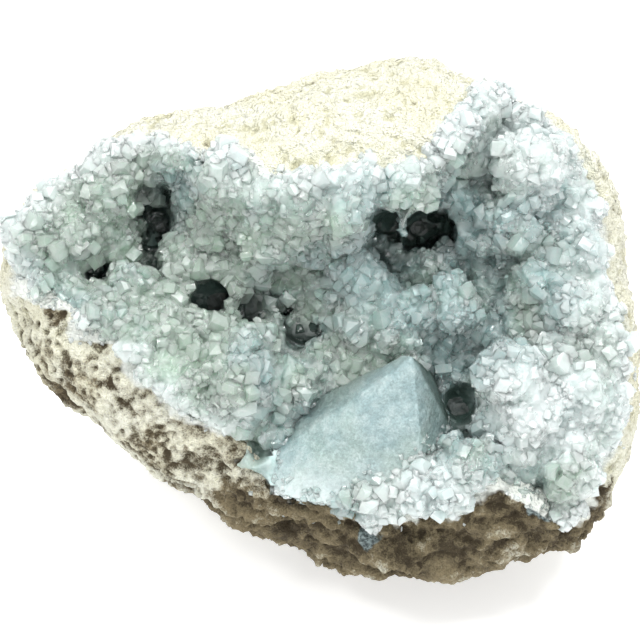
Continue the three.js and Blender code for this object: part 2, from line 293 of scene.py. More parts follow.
def spaced(places, normals, wanted, spacing):
    """The wanted places and their normals, less those too close to an earlier one."""
    kept = np.flatnonzero(wanted)
    kept = kept[thinned(places[kept], spacing)]
    return places[kept], normals[kept]


def crystal_form(width, depth, shoulder, ridge, flat, lean):
    """A blunt crystal of length 1, root at the origin, growing along +Z: a four-sided prism under a roof.

    Gives its corners and its faces. The object itself is removed again.
    """
    bpy.ops.object.select_all(action="DESELECT")
    bpy.ops.mesh.primitive_cube_add(
        size=1, location=(0, 0, shoulder / 2), scale=(width, depth, shoulder)
    )
    obj = bpy.context.object
    bpy.ops.object.transform_apply(location=True, rotation=True, scale=True)
    bpy.ops.object.mode_set(mode="EDIT")
    bpy.ops.mesh.select_mode(type="FACE")
    bpy.ops.mesh.select_all(action="DESELECT")
    shape = bmesh.from_edit_mesh(obj.data)
    shape.faces.ensure_lookup_table()
    for face in shape.faces:
        face.select_set(face.normal.z > 0.9)
    bmesh.update_edit_mesh(obj.data)
    bpy.ops.mesh.extrude_region_move(TRANSFORM_OT_translate={"value": (lean, 0, 1 - shoulder)})
    bpy.ops.transform.resize(value=(ridge, flat, 1))
    bpy.ops.object.mode_set(mode="OBJECT")
    corners = places_of(obj.data)
    faces = [tuple(p.vertices) for p in obj.data.polygons]
    mesh = obj.data
    bpy.data.objects.remove(obj)
    bpy.data.meshes.remove(mesh)
    return corners, faces


def planted(name, forms, picks, seats, roots, directions, spins, widths, lengths, tints):
    """One joined mesh of many crystals. Every list has one entry for each crystal, in face millimetres.

    The seat is where a crystal comes out of its surface, and the root where it begins below it.
    """
    helper = np.where(np.abs(directions[:, 2:3]) < 0.9, [[0, 0, 1.0]], [[1.0, 0, 0]])
    side = unit(np.cross(helper, directions))
    other = np.cross(directions, side)
    c, s = np.cos(spins)[:, None], np.sin(spins)[:, None]
    first, second = c * side + s * other, c * other - s * side
    axes = np.stack(
        (first * widths[:, None], second * widths[:, None], directions * lengths[:, None]), axis=1
    )
    parts = []
    start = 0
    for k, (corners, faces) in enumerate(forms):
        mine = np.flatnonzero(picks == k)
        if not len(mine):
            continue
        placed = np.einsum("vj,njk->nvk", corners, axes[mine]) + roots[mine][:, None, :]
        offsets = start + np.arange(len(mine))[:, None] * len(corners)
        part = (
            placed.reshape(-1, 3),
            np.repeat(seats[mine], len(corners), axis=0),
            np.repeat(tints[mine], len(corners)),
            np.tile(corners[:, 2], len(mine)),
            (np.concatenate(faces)[None, :] + offsets).ravel(),
            np.tile([len(f) for f in faces], len(mine)),
        )
        parts.append(part)
        start += len(mine) * len(corners)
    places, seats, tints, heights, loops, totals = map(np.concatenate, zip(*parts))
    mesh = bpy.data.meshes.new(name)
    mesh.vertices.add(len(places))
    mesh.loops.add(len(loops))
    mesh.polygons.add(len(totals))
    mesh.vertices.foreach_set("co", in_room(places).astype(np.float32).ravel())
    mesh.loops.foreach_set("vertex_index", loops.astype(np.int32))
    mesh.polygons.foreach_set("loop_start", (np.cumsum(totals) - totals).astype(np.int32))
    mesh.update(calc_edges=True)
    mesh.validate()
    marks(mesh, seats, tints, heights, 1)
    obj = bpy.data.objects.new(name, mesh)
    bpy.context.scene.collection.objects.link(obj)
    only(obj)
    bpy.ops.object.shade_flat()
    return obj


def grown_from(name, rng, places, normals, width, stands, sunk, spread=0.3):
    """Crystals of about one width with their roots in a surface.

    Each stands out by a share of its width, and is sunk by another.
    """
    count = len(places)
    forms = [
        crystal_form(
            1.0, rng.uniform(0.6, 0.95), rng.uniform(0.62, 0.85), rng.uniform(0.2, 0.65),
            rng.uniform(0.06, 0.4), rng.uniform(-0.15, 0.15),
        )
        for _ in range(10)
    ]
    directions = unit(normals + rng.normal(0, 0.35, (count, 3)))
    deep = 1 - smooth_step(0.3, 0.65, openness(places))
    widths = width * np.exp(rng.normal(0, spread, count)).clip(0.4, 1 + 2 * spread) * (1 - 0.5 * deep)
    widths = widths * (1 + 0.5 * noise_at(places, 14))
    out = widths * rng.uniform(*stands, count)
    root = sunk * widths
    return planted(
        name, forms, rng.integers(0, len(forms), count), places + 0.5 * directions * out[:, None],
        places - directions * root[:, None], directions, rng.uniform(0, 2 * math.pi, count),
        widths, out + root, rng.random(count),
    )


# ---the rim

RIM_BEARINGS = 120
rim = {}


def find_rim():
    """Keeps how far the solid crust reaches from the middle of the face, at each bearing."""
    co = in_face(places_of(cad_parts["crystal_crust"].data))
    turn = np.arctan2(co[:, 1], co[:, 0]) % (2 * math.pi)
    reach = np.hypot(co[:, 0], co[:, 1])
    bins = (turn / (2 * math.pi) * RIM_BEARINGS).astype(int) % RIM_BEARINGS
    far = np.array([reach[bins == b].max() if (bins == b).any() else 0 for b in range(RIM_BEARINGS)])
    rim["reach"] = far


def from_rim(face_points):
    """How far inside the rim each point lies, seen square on, negative outside it."""
    turn = np.arctan2(face_points[:, 1], face_points[:, 0]) % (2 * math.pi)
    at = turn / (2 * math.pi) * RIM_BEARINGS - 0.5
    low = np.floor(at).astype(int)
    t = at - low
    far = rim["reach"][low % RIM_BEARINGS] * (1 - t) + rim["reach"][(low + 1) % RIM_BEARINGS] * t
    return far - np.hypot(face_points[:, 0], face_points[:, 1])


def nearness_to_rim(face_points):
    """1 at the rim and beyond it, falling to 0 some way inside."""
    return 0.9 * (1 - smooth_step(-1, 8, from_rim(face_points)))


def from_line(places, corners):
    """How far each place lies from a line through some corners."""
    corners = np.array(corners, float)
    away = np.full(len(places), 1e9)
    for a, b in zip(corners[:-1], corners[1:]):
        share = np.clip((places - a) @ (b - a) / ((b - a) @ (b - a)), 0, 1)
        away = np.minimum(away, np.linalg.norm(places - a - share[:, None] * (b - a), axis=1))
    return away


# Patches of the face: middle across and up, half width, half height, strength.
# ICY_AND_LIT whitens the crystals, partly as milkier crystal and partly as painted light. SHADED and MOUTHS
# paint shade into them, and LIT paints light.
ICY_AND_LIT = [
    (50, -19, 17, 15, 1.0), (48, 38, 14, 13, 0.9), (61, 5, 9, 22, 0.6), (22, -36, 12, 7, 0.8),
    (-10, 31, 20, 5, 0.6),
]
SHADED = [(48.5, -38.5, 5, 6, 0.6), (38, 24, 9, 14, 0.35), (-30, 8, 12, 9, 0.3)]
SPILLED = [
    (10.8, -42.5, 2.5, 3.5, 1.0), (27, -37.5, 5, 5, 1.0),
    (38, 48, 4, 4.5, 1.0), (33, 43, 4.5, 5, 1.0), (27, 37, 4.5, 4.5, 1.0),
]
BARE = [(-3, -42, 12, 5, 0.5), (-17, -32, 8, 7, 1.0)]
LIT = [(37, -17.5, 3, 5, 0.6)]
VEINS = [(11, -47.5, 4.5, 3.5, 1.0), (49, -40, 3.5, 5.5, 1.0)]
MOUTHS = [
    (16, 22, 4.5, 3, 1.0), (23, 21, 5, 3.5, 1.0), (27, 17.5, 3, 2.5, 0.8), (-39, 28, 4.5, 3.5, 0.7),
    (-37, 22, 2.5, 4, 0.6), (-35, 14, 2, 5, 0.6), (-51, 11, 3, 2, 0.6), (-24, 5, 5.5, 4, 1.0),
    (-16, 3, 4.5, 3.5, 0.9), (-4.3, -2.5, 4.2, 3.2, 1.0), (31, -18.8, 3.5, 4.2, 0.8), (-49, 32, 4, 2.3, 0.5),
]


def wobbled(face_points, size, span):
    """The points moved about at random, so that what is found from them has ragged edges."""
    return face_points + size * np.array([noise.noise_vector(Vector(p) / span) for p in face_points])


def in_patches(patches, face_points):
    """How far each point lies in any of some patches, from 0 outside to their strength inside."""
    share = np.zeros(len(face_points))
    for across, up, half_width, half_height, strength in patches:
        away = np.hypot(
            (face_points[:, 0] - across) / half_width, (face_points[:, 1] - up) / half_height
        )
        share = np.maximum(share, strength * (1 - smooth_step(0.5, 1.3, away)))
    return share


def depth_of_bowl(face_points):
    """About how deep the floor of the bowl lies below the face at each point."""
    return -0.5 + 34 * smooth_step(0, 20, from_rim(face_points))


def drawn_back(face_points, inner, outer):
    """The points with those over the mouths of the dark pockets pushed aside, off the mouths."""
    start = wobbled(face_points, 2.0, 4)
    moved = start.copy()
    free = smooth_step(2.5, 6.5, face_points[:, 2] + depth_of_bowl(face_points))
    for across, up, half_width, half_height, strength in MOUTHS:
        side = (moved[:, :2] - (across, up)) / (half_width, half_height)
        away = np.maximum(np.hypot(side[:, 0], side[:, 1]), 0.05)
        wanted = np.maximum(away, inner + away * (outer - inner) / outer)
        stretch = 1 + strength * free * (wanted / away - 1)
        moved[:, :2] = (across, up) + side * stretch[:, None] * (half_width, half_height)
    return face_points + moved - start


def marks(mesh, face_points, tint, rise, open_share):
    """Keeps what the crystal material reads. How open each point is paints shade where it is low, and how
    far it lies from its root paints the tips lighter. It also keeps the tint, and how icy each point is,
    which whitens it partly as painted light.
    """
    ones = np.ones(len(face_points))
    shade = in_patches(SHADED, face_points)
    deep = in_patches(MOUTHS, wobbled(face_points, 2.0, 4))
    bare = smooth_step(0, 0.3, in_patches(BARE, face_points))
    # Whiter near the rim and in the icy patches, partly as painted light, and less so in the shaded and bare
    # patches.
    ice_and_light = np.maximum(nearness_to_rim(face_points), in_patches(ICY_AND_LIT, face_points))
    ice_and_light = ice_and_light * (1 - shade) * (1 - 0.8 * bare)
    # Painted shade and light: the openness is lowered in the shaded patches and at the pocket mouths, and
    # raised in the lit patches.
    seen = openness(face_points) * open_share * (1 - 0.35 * shade) * (1 - 0.5 * deep)
    seen = np.maximum(seen, in_patches(LIT, face_points))
    kept = {"open": seen, "tint": tint * ones, "rise": rise * ones, "ice_and_light": ice_and_light}
    for name, values in kept.items():
        keep_number(mesh, name, values)


# ---materials


class Recipe:
    """A node material, built up step by step."""

    def __init__(self, name):
        self.material = bpy.data.materials.new(name)
        self.material.use_nodes = True
        self.nodes = self.material.node_tree.nodes
        self.links = self.material.node_tree.links
        self.shader = self.nodes["Principled BSDF"]
        self.output = self.nodes["Material Output"]
        self.place = self.add("ShaderNodeTexCoord").outputs["Object"]

    def add(self, kind, settings=None, **inputs):
        node = self.nodes.new(kind)
        for name, value in (settings or {}).items():
            setattr(node, name, value)
        self.feed_all(node, inputs)
        return node

    def shade(self, **inputs):
        """Feeds the shader, each socket named with _ for a space."""
        self.feed_all(self.shader, inputs)

    def feed_all(self, node, inputs):
        for name, value in inputs.items():
            self.feed(node.inputs[name.replace("_", " ")], value)

    def feed(self, socket, value):
        if isinstance(value, bpy.types.NodeSocket):
            self.links.new(value, socket)
        else:
            socket.default_value = value

    def number(self, name):
        return self.add("ShaderNodeAttribute", {"attribute_name": name}).outputs["Fac"]

    def grain(self, scale, detail=3.0, roughness=0.6, vector=None):
        """Noise from 0 to 1 with this many lumps to a metre."""
        return self.add(
            "ShaderNodeTexNoise",
            Vector=vector or self.place, Scale=scale, Detail=detail, Roughness=roughness,
        ).outputs["Fac"]

    def facets(self, scale, steepness):
        """Slanting planes, one to a small crystal, as a height in metres, and a random tone for each."""
        cell = self.add("ShaderNodeTexVoronoi", Vector=self.place, Scale=scale)
        away = self.vectors("SUBTRACT", self.place, cell.outputs["Position"]).outputs["Vector"]
        slant = self.vectors("SUBTRACT", cell.outputs["Color"], (0.5, 0.5, 0.5)).outputs["Vector"]
        height = self.vectors("DOT_PRODUCT", away, slant).outputs["Value"]
        tone = self.add("ShaderNodeSeparateXYZ", Vector=cell.outputs["Color"]).outputs["X"]
        return self.sum("MULTIPLY", height, steepness), tone

    def fed(self, kind, settings, *values):
        """A node with its first sockets fed in order."""
        node = self.add(kind, settings)
        for socket, value in zip(node.inputs, values):
            self.feed(socket, value)
        return node

    def vectors(self, operation, a, b):
        return self.fed("ShaderNodeVectorMath", {"operation": operation}, a, b)

    def between(self, value, low, high, to_low=0.0, to_high=1.0):
        kind, eased = "ShaderNodeMapRange", {"interpolation_type": "SMOOTHSTEP"}
        return self.fed(kind, eased, value, low, high, to_low, to_high).outputs[0]

    def sum(self, operation, a, b):
        return self.fed("ShaderNodeMath", {"operation": operation}, a, b).outputs[0]

    def swayed(self, value, field, share=1.0):
        """A value moved by a share of how far a field lies from its middle."""
        return self.sum("ADD", value, self.sum("MULTIPLY", self.sum("SUBTRACT", field, 0.5), share))

    def blend(self, share, a, b, how="MIX"):
        node = self.add("ShaderNodeMix", {"data_type": "RGBA", "blend_type": how})
        self.feed(node.inputs[0], share)
        for socket, given in ((node.inputs[6], a), (node.inputs[7], b)):
            self.feed(socket, (*given, 1) if isinstance(given, (tuple, list)) else given)
        return node.outputs[2]

    def bump(self, height, strength, distance):
        node = self.add("ShaderNodeBump", Height=height, Strength=strength, Distance=distance)
        self.links.new(node.outputs["Normal"], self.shader.inputs["Normal"])

    def absorb(self, colour, density):
        node = self.add("ShaderNodeVolumeAbsorption", Color=(*colour, 1), Density=density)
        self.links.new(node.outputs[0], self.output.inputs["Volume"])


def celestite(settings, name, body_colour, clearness, milkiness, frost, facet_scale, relief=0.8):
    """Milky, see-through pale blue crystal. It is whiter near the rim and in icy patches, partly as painted
    light, with painted highlights on the tips and painted shade, dark and greenish, where it sees little sky
    and deep in the pockets.

    Small crystals cover it, facet_scale of them to a metre.
    """
    r = Recipe(name)
    rim_and_highlight_colour, pocket_shade_colour = tuple(settings.rim_and_highlight_colour), tuple(settings.pocket_shade_colour)
    across = r.add("ShaderNodeSeparateXYZ", Vector=r.place).outputs["X"]
    broad = r.sum("ADD", r.grain(55, 2), r.between(across, -0.035, 0.01, 0.14, -0.04))
    broad = r.between(broad, 0.36, 0.64)
    body = r.blend(broad, toned(body_colour, 0.93, 0.98, 1.03), toned(body_colour, 1.05, 1.01, 0.91))
    # Painted highlight: the tips, far from their roots, turn lighter. The grain whitens patches at random.
    for field in (r.number("rise"), r.between(r.grain(420, 2), 0.35, 0.75)):
        body = r.blend(r.sum("MULTIPLY", field, 0.25), body, rim_and_highlight_colour)
    speckle = r.between(r.grain(2600, 2, 0.7), 0.35, 0.65)
    slants, tone = r.facets(facet_scale, 0.9)
    for share, field, (dark, light) in (
        (0.4, r.number("tint"), ((0.25, 0.3, 0.3), (0.75, 0.8, 0.78))),
        (0.3, speckle, GREYS),
        (0.25, tone, GREYS),
    ):
        body = r.blend(share, body, r.blend(field, dark, light), "OVERLAY")
    # Whiter toward the rim and in the icy patches: partly milkier crystal, partly painted light.
    ice_and_light = r.sum("MULTIPLY", r.number("ice_and_light"), r.between(r.grain(140), 0.25, 0.6, 0.65, 1.0))
    body = r.blend(ice_and_light, body, rim_and_highlight_colour)
    # Painted shade: a dark, greenish colour, mixed in below where the crystal sees little sky.
    deep = r.blend(r.grain(260), pocket_shade_colour, toned(pocket_shade_colour, 2.2, 2.2, 2.2))
    r.shade(
        Base_Color=r.blend(r.between(r.number("open"), 0.2, 0.6), deep, body),
        Roughness=r.between(r.number("tint"), 0.15, 0.45, 0.05, 1.1 * frost),
        IOR=CELESTITE_IOR,
        Transmission_Weight=r.between(ice_and_light, 0, 1, clearness, 0.5 * clearness),
        Subsurface_Weight=milkiness,
        Subsurface_Radius=(1.0, 1.0, 1.0),
        Subsurface_Scale=0.0012,
    )
    r.bump(r.sum("ADD", slants, r.sum("MULTIPLY", r.grain(1500, 3, 0.7), 0.0003)), relief, 1.0)
    r.absorb(tuple(settings.absorbed_colour), settings.absorption)
    return r.material


def weathered_rock(settings):
    """Cream limestone with brown earth in its pits, and browner, layered rock below the front. Raised lumps
    are painted lighter and hollows darker, as painted highlight and shade over the earth.
    """
    r = Recipe("weathered_rock")
    cream, earth, dark = (tuple(c) for c in (settings.cream, settings.earth, settings.dark))
    specks = r.grain(2300, 1, 0.8)
    fine = r.grain(900, 2, 0.75)
    coarse = r.grain(330, 2, 0.7)
    broad = r.grain(70, 1, 0.6)
    body = r.blend(r.between(broad, 0.35, 0.65), cream, toned(cream, 0.99, 0.97, 0.9))
    chips, tone = r.facets(420, 0.6)
    olive_specks_and_shade = toned(cream, 0.62, 0.6, 0.45)
    body = r.blend(r.between(specks, 0.52, 0.68, 0, 0.6), body, olive_specks_and_shade)
    raised = r.number("raised")
    for field, share in ((specks, 0.9), (fine, 0.9), (tone, 0.25)):
        raised = r.swayed(raised, field, share)
    # Painted shade: low places turn olive.
    body = r.blend(r.between(raised, 0.1, 0.45, 0.7, 0), body, olive_specks_and_shade)
    # Dark earth in the low places, partly real earth and partly painted shade. Painted highlight: lighter
    # earth on raised lumps.
    lit_and_shaded_soil = r.blend(r.between(raised, 0.15, 0.6), dark, earth)
    lit_and_shaded_soil = r.blend(r.between(raised, 0.5, 0.95), lit_and_shaded_soil, toned(earth, 1.5, 1.5, 1.5))
    low = r.sum("MULTIPLY", r.number("earth"), 1.5)
    low = r.sum("ADD", low, r.sum("MULTIPLY", r.number("pit"), 0.8))
    # Raised places show cream, a painted highlight.
    for field, share in ((raised, -0.9), (coarse, 1.0), (fine, 1.2), (broad, 1.0)):
        low = r.swayed(low, field, share)
    body = r.blend(r.between(low, 0.4, 1.2), body, lit_and_shaded_soil)
    vein = r.between(r.swayed(r.number("vein"), coarse), 0.35, 0.75)
    body = r.blend(vein, body, r.blend(r.between(fine, 0.35, 0.65), (0.06, 0.08, 0.08), (0.3, 0.37, 0.37)))
    white = r.between(r.swayed(r.number("white"), coarse), 0.3, 0.9)
    body = r.blend(white, body, (0.84, 0.87, 0.82))
    r.shade(Base_Color=body, Roughness=r.between(vein, 0, 1, 0.9, 0.4), Specular_IOR_Level=0.25)
    lumps = r.sum("ADD", r.sum("MULTIPLY", coarse, 0.002), r.sum("MULTIPLY", fine, 0.0012))
    lumps = r.sum("ADD", lumps, r.sum("MULTIPLY", specks, 0.0006))
    r.bump(r.sum("ADD", lumps, chips), 1.0, 1.0)
    return r.material


# ---settings


def colour(name, description, default):
    return FloatVectorProperty(
        name=name, description=description, subtype="COLOR", size=3, min=0, max=1, default=default
    )


def size(name, description, default, **more):
    """A length in metres, given in millimetres."""
    return FloatProperty(
        name=name, description=description, default=default * MM, unit="LENGTH", precision=5, **more
    )


def share_of_light(name, description, default):
    return FloatProperty(
        name=name, description=description, default=default, min=0, max=1, subtype="FACTOR"
    )


class GEODE_PG_rock(bpy.types.PropertyGroup):
    cream: colour("Cream", "Colour of the clean limestone", (0.80, 0.80, 0.69))
    earth: colour("Earth", "Colour of the brown earth on it", (0.155, 0.127, 0.075))
    # Also painted shade in the low places of the rock.
    dark: colour("Dark earth and shade", "Colour at the bottom of its pits", (0.07, 0.055, 0.033))
    voxel: size("Grain of the mesh", "Side of the voxels that the rock is built from", 0.75)
    pit_depth: size("Pit depth", "Depth of the weathered pits", 1.4)
    ledge_height: size("Ledge height", "How far the layers stand out below the front", 2.4)


class GEODE_PG_crystal(bpy.types.PropertyGroup):
    body_colour: colour("Body colour", "Colour of the crystals in full light", (0.71, 0.88, 0.83))
    bed_colour: colour("Bed colour", "Colour of the milky bed under them", (0.6, 0.74, 0.7))
    great_colour: colour("Great crystal colour", "Colour of the great crystal", (0.28, 0.37, 0.37))
    # Painted shade: the colour the crystals turn to where they see little sky.
    pocket_shade_colour: colour("Pocket shade colour", "Colour of the crystals deep in the pockets", (0.032, 0.055, 0.047))
    # Also the painted highlight on the tips and the painted light in the icy patches.
    rim_and_highlight_colour: colour("Rim and highlight colour", "Colour of the icy crystals and of the tips", (0.84, 0.92, 0.91))
    absorbed_colour: colour("Absorption colour", "What light turns to inside a crystal", (0.66, 0.86, 0.86))
    absorption: FloatProperty(
        name="Absorption", description="Density of the absorption, to a metre", default=40, min=0
    )
    clearness: share_of_light("Clearness", "Share of light that passes through", 0.65)
    milkiness: share_of_light("Milkiness", "Share of light scattered inside", 0.8)
    clump_height: size("Clump height", "How far the clumps of the bed swell out", 3.2)
    clump_width: size("Clump width", "Distance between the middles of the clumps", 8.0)
    large_width: size("Large width", "Width of an average large crystal", 5.6)
    main_width: size("Main width", "Width of an average main crystal", 3.4)
    block_width: size("Block width", "Width of an average sharp blocky crystal", 2.2)
    small_width: size("Small width", "Width of an average small crystal", 1.2)
    grown_voxel: size("Grain of the crystals", "Side of the voxels that melt them together", 0.5)
    seed: IntProperty(name="Seed", description="Start of the random numbers", default=7)


class GEODE_PG_light(bpy.types.PropertyGroup):
    key_power: FloatProperty(
        name="Key light", description="Power of the large light above", default=20, unit="POWER"
    )
    glint_power: FloatProperty(
        name="Glint light", description="Power of each small light", default=2.5, unit="POWER"
    )
    sky: FloatProperty(name="Sky", description="Strength of the pale surroundings", default=0.65)


# ---operators


class GEODE_OT_stage(bpy.types.Operator):
    """Sets up the camera, the pale floor and the soft light"""

    bl_idname = "geode.stage"
    bl_label = "Stage"

    def execute(self, context):
        settings = context.scene.geode_light
        self.add_camera(context)
        bpy.ops.object.select_all(action="DESELECT")
        bpy.ops.mesh.primitive_plane_add(size=FLOOR_SIDE, location=(0, 0, FLOOR_LEVEL))
        floor = context.object
        floor.name = "floor"
        r = Recipe("pale_floor")
        r.shade(
            Base_Color=(0.92, 0.92, 0.915, 1), Emission_Color=(1, 1, 1, 1), Emission_Strength=0.4,
            Roughness=r.between(r.grain(40), 0.3, 0.7, 0.8, 0.95), Specular_IOR_Level=0.2,
        )
        floor.data.materials.append(r.material)
        world = context.scene.world or bpy.data.worlds.new("World")
        context.scene.world = world
        world.use_nodes = True
        sky = world.node_tree.nodes["Background"]
        sky.inputs["Color"].default_value = (1, 1, 1, 1)
        sky.inputs["Strength"].default_value = settings.sky
        middle = Vector(in_room((0, 0, 0)))
        self.add_light("key", KEY_SIDE, KEY_PLACE, middle, settings.key_power)
        for i, place in enumerate(GLINT_PLACES):
            self.add_light(f"glint_{i}", GLINT_SIDE, place, middle, settings.glint_power)
        context.scene.view_settings.view_transform = "Standard"
        return {"FINISHED"}

    def add_camera(self, context):
        camera = bpy.data.cameras.new("camera")
        camera.sensor_width = CAMERA_SENSOR
        camera.lens = CAMERA_LENS
        camera.shift_x = CAMERA_SHIFT
        camera.clip_start = 0.01
        obj = bpy.data.objects.new("camera", camera)
        context.scene.collection.objects.link(obj)
        aim = Vector(in_room((0, 0, 0)))
        back = Vector((0, -math.cos(CAMERA_ELEVATION), math.sin(CAMERA_ELEVATION)))
        obj.location = aim + CAMERA_DISTANCE * back
        obj.rotation_euler = (-back).to_track_quat("-Z", "Y").to_euler()
        context.scene.camera = obj

    def add_light(self, name, side, place, aim, power):
        light = bpy.data.lights.new(name, "AREA")
        light.shape = "SQUARE"
        light.size = side
        light.energy = power
        obj = bpy.data.objects.new(name, light)
        bpy.context.scene.collection.objects.link(obj)
        obj.location = place
        obj.rotation_euler = (Vector(place) - aim).to_track_quat("Z", "Y").to_euler()


class GEODE_OT_bed(bpy.types.Operator):
    """Builds the bed that the crystals stand on"""

    bl_idname = "geode.bed"
    bl_label = "Crystal bed"

    FINE_VOXEL = 1.0 * MM
    COARSE_VOXEL = 1.25 * MM
    SWELL = 1.0 * MM
    SHRINK = 1.2 * MM

    def execute(self, context):
        settings = context.scene.geode_crystal
        find_rim()
        obj = copy_of_node("crystal_crust", "crystal_bed")
        modify(obj, "REMESH", mode="VOXEL", voxel_size=self.FINE_VOXEL)
        modify(obj, "DISPLACE", strength=self.SWELL, mid_level=0.0)
        modify(obj, "REMESH", mode="VOXEL", voxel_size=self.FINE_VOXEL)
        modify(obj, "SMOOTH", factor=0.5, iterations=8)
        modify(obj, "DISPLACE", strength=-self.SHRINK, mid_level=0.0)
        modify(obj, "REMESH", mode="VOXEL", voxel_size=self.COARSE_VOXEL)
        modify(obj, "SMOOTH", factor=0.5, iterations=2)
        face = in_face(places_of(obj.data))
        normals = normals_of(obj.data) @ FACE_AXES.T
        lift = self.clumps(face, settings.clump_height / MM, settings.clump_width / MM)
        lift = lift * smooth_step(-0.3, 0.2, normals[:, 2]) * smooth_step(0.5, 3, beyond_great(face))
        face = face + normals * (lift * (1 - in_patches(BARE, face)))[:, None]
        face = drawn_back(face, 0.8, 1.7)
        sink = (4 * in_patches(MOUTHS, face) + 5 * in_patches(BARE, face)) * (normals[:, 2] > 0)
        lowest = np.minimum(face[:, 2], 4 - depth_of_bowl(face))
        face[:, 2] = np.maximum(face[:, 2] - sink, lowest)
        face = self.under_the_great_crystal(face)
        set_places(obj.data, in_room(face))
        make_survey(obj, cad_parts["matrix_rock"])
        # Painted shade: the bed's openness is scaled down, more in the bare patches, so it turns darker.
        marks(obj.data, face, 0.4, 0, 0.8 - 0.4 * in_patches(BARE, face))
        bpy.ops.object.shade_smooth()
        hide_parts("crystal_crust")
        colours = tuple(settings.bed_colour)
        material = celestite(settings, "bed_crystal", colours, 0.0, settings.milkiness, 0.35, 700)
        finished(obj, material)
        print("bed", triangles_of(obj), "triangles")
        return {"FINISHED"}

    def clumps(self, face, height, width):
        """How far each point of the bed swells out, in rounded clumps with creases between."""
        lift = np.empty(len(face))
        for i, place in enumerate(face):
            p = Vector(place)
            p = p + 2.0 * noise.noise_vector(p / 7)
            nearest = noise.voronoi(p / width)[0][0]
            lift[i] = height * (math.sqrt(max(0.0, 1 - (nearest / 0.85) ** 2)) - 0.6)
        return lift

    def under_the_great_crystal(self, face):
        """Draws the skin of the bed a millimetre inside the great crystal, where they nearly meet."""
        hull = great_hull()
        away = np.stack([face @ n - d for n, d in hull])
        nearest = away.argmax(axis=0)
        out = away.max(axis=0)
        normals = np.array([n for n, _ in hull])[nearest]
        pull = np.where((out > -1.0) & (out < 0.8), out + 1.0, 0)
        return face - normals * pull[:, None]


def great_hull():
    """The planes of the great crystal, as unit normals and distances from the middle of the face."""
    shape = bmesh.new()
    for p in GREAT_FRONT + GREAT_SLOPE + GREAT_SIDE + GREAT_ROOT:
        shape.verts.new(p)
    bmesh.ops.convex_hull(shape, input=shape.verts)
    shape.faces.ensure_lookup_table()
    planes = [(np.array(f.normal), float(f.normal.dot(f.verts[0].co))) for f in shape.faces]
    middle = np.mean([v.co for v in shape.verts], axis=0)
    shape.free()
    return [(n, d) if n @ middle < d else (-n, -d) for n, d in planes]


def beyond_great(points):
    """How far each point lies outside the great crystal, negative inside it."""
    return np.max([points @ n - d for n, d in great_hull()], axis=0)


